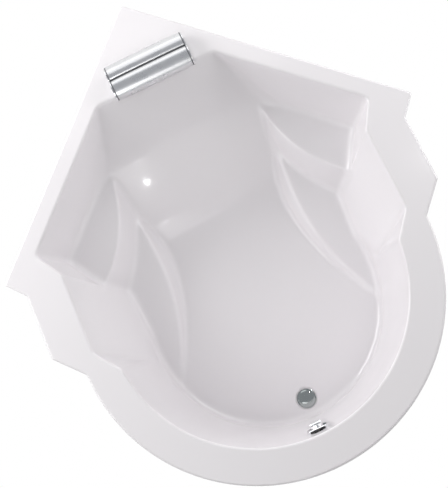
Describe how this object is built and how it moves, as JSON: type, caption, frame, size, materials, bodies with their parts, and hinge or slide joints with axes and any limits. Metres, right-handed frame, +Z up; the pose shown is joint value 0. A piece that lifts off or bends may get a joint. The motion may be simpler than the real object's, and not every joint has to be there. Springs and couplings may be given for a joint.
{
  "type": "corner bathtub",
  "caption": "Corner bath with a rounded foot end, arm shelves, sloping back, lift-off head roll, adjustable feet, and a pop-up waste and overflow turned by a knob.",
  "frame": {"origin": "centre of the plan's bounding box, on the floor under the feet", "axes": "+X across the bath, +Y towards the corner of the two walls at the head end, +Z up"},
  "size_m": [1.4876, 1.726, 0.629],
  "materials": {
    "acrylic": "gloss white acrylic",
    "wood": "bare board",
    "zinc": "zinc plated",
    "rail_paint": "galvanised grey",
    "pad_black": "matte black",
    "seal": "matte",
    "chrome": "polished",
    "waste_plastic": "moulded white",
    "waste_black": "moulded black",
    "hose": "ribbed",
    "cable": "sheathed",
    "roll": "silver skin",
    "cup": "clear soft"
  },
  "bodies": {
    "bath": {"base_board": "wood", "bath_shell": "acrylic", "bowden_cable": "cable", "cross_rail_foot": "rail_paint", "cross_rail_head": "rail_paint", "cross_rail_middle": "rail_paint", "elbow_nut": "waste_black", "frame_bolts": "zinc", "hose_nut_lower": "waste_black", "hose_nut_upper": "waste_black", "lock_nuts": "zinc", "long_rail_left": "rail_paint", "long_rail_right": "rail_paint", "overflow_body": "waste_plastic", "overflow_hose": "hose", "overflow_rosette": "chrome", "overflow_seal": "seal", "rail_screws": "zinc", "rim_batten_foot": "wood", "rim_batten_left": "wood", "rim_batten_right": "wood", "trap_body": "waste_plastic", "trap_cap": "waste_black", "trap_nut": "waste_black", "wall_bracket_left": "rail_paint", "wall_bracket_right": "rail_paint", "waste_body": "waste_plastic", "waste_elbow": "waste_plastic", "waste_flange": "chrome", "waste_seal_bottom": "seal", "waste_seal_top": "seal"},
    "leg_head_left": {"leg_stud_head_left": "zinc", "foot_pad_head_left": "pad_black"},
    "leg_head_right": {"leg_stud_head_right": "zinc", "foot_pad_head_right": "pad_black"},
    "leg_middle_left": {"leg_stud_middle_left": "zinc", "foot_pad_middle_left": "pad_black"},
    "leg_middle_right": {"leg_stud_middle_right": "zinc", "foot_pad_middle_right": "pad_black"},
    "leg_foot_left": {"leg_stud_foot_left": "zinc", "foot_pad_foot_left": "pad_black"},
    "leg_foot_right": {"leg_stud_foot_right": "zinc", "foot_pad_foot_right": "pad_black"},
    "plug": {"plug": "chrome", "plug_seal": "seal"},
    "lever": {"lift_lever": "waste_plastic"},
    "knob": {"overflow_knob": "chrome", "overflow_spindle": "waste_plastic"},
    "head_roll": {"headrest_cap_left": "chrome", "headrest_cap_right": "chrome", "headrest_carrier": "waste_plastic", "headrest_cushion": "roll", "headrest_suction_cups": "cup"}
  },
  "joints": [
    {"name": "leg_head_left_adjust", "type": "slide", "parent": "bath", "child": "leg_head_left", "axis": [0, 0, -1], "range_m": [-0.012, 0.025]},
    {"name": "leg_head_right_adjust", "type": "slide", "parent": "bath", "child": "leg_head_right", "axis": [0, 0, -1], "range_m": [-0.012, 0.025]},
    {"name": "leg_middle_left_adjust", "type": "slide", "parent": "bath", "child": "leg_middle_left", "axis": [0, 0, -1], "range_m": [-0.012, 0.025]},
    {"name": "leg_middle_right_adjust", "type": "slide", "parent": "bath", "child": "leg_middle_right", "axis": [0, 0, -1], "range_m": [-0.012, 0.025]},
    {"name": "leg_foot_left_adjust", "type": "slide", "parent": "bath", "child": "leg_foot_left", "axis": [0, 0, -1], "range_m": [-0.012, 0.025]},
    {"name": "leg_foot_right_adjust", "type": "slide", "parent": "bath", "child": "leg_foot_right", "axis": [0, 0, -1], "range_m": [-0.012, 0.025]},
    {"name": "plug_lift", "type": "slide", "parent": "bath", "child": "plug", "axis": [0, 0, 1], "range_m": [0, 0.01]},
    {"name": "lever_tilt", "type": "hinge", "parent": "bath", "child": "lever", "pos_m": [0, -0.59199, 0.1156], "axis": [-1, 0, 0], "range_deg": [0, 30]},
    {"name": "knob_turn", "type": "hinge", "parent": "bath", "child": "knob", "pos_m": [0, -0.73677, 0.505], "axis": [0, 0.9848, 0.1736], "range_deg": [0, 90]},
    {"name": "head_roll_lift", "type": "slide", "parent": "bath", "child": "head_roll", "axis": [0, 0, 1], "range_m": [0, 0.06]}
  ],
  "couplings": [
    {"joint": "knob_turn", "follows": "plug_lift", "rad_per_m": 157.08},
    {"joint": "lever_tilt", "follows": "plug_lift", "rad_per_m": 52.36}
  ]
}
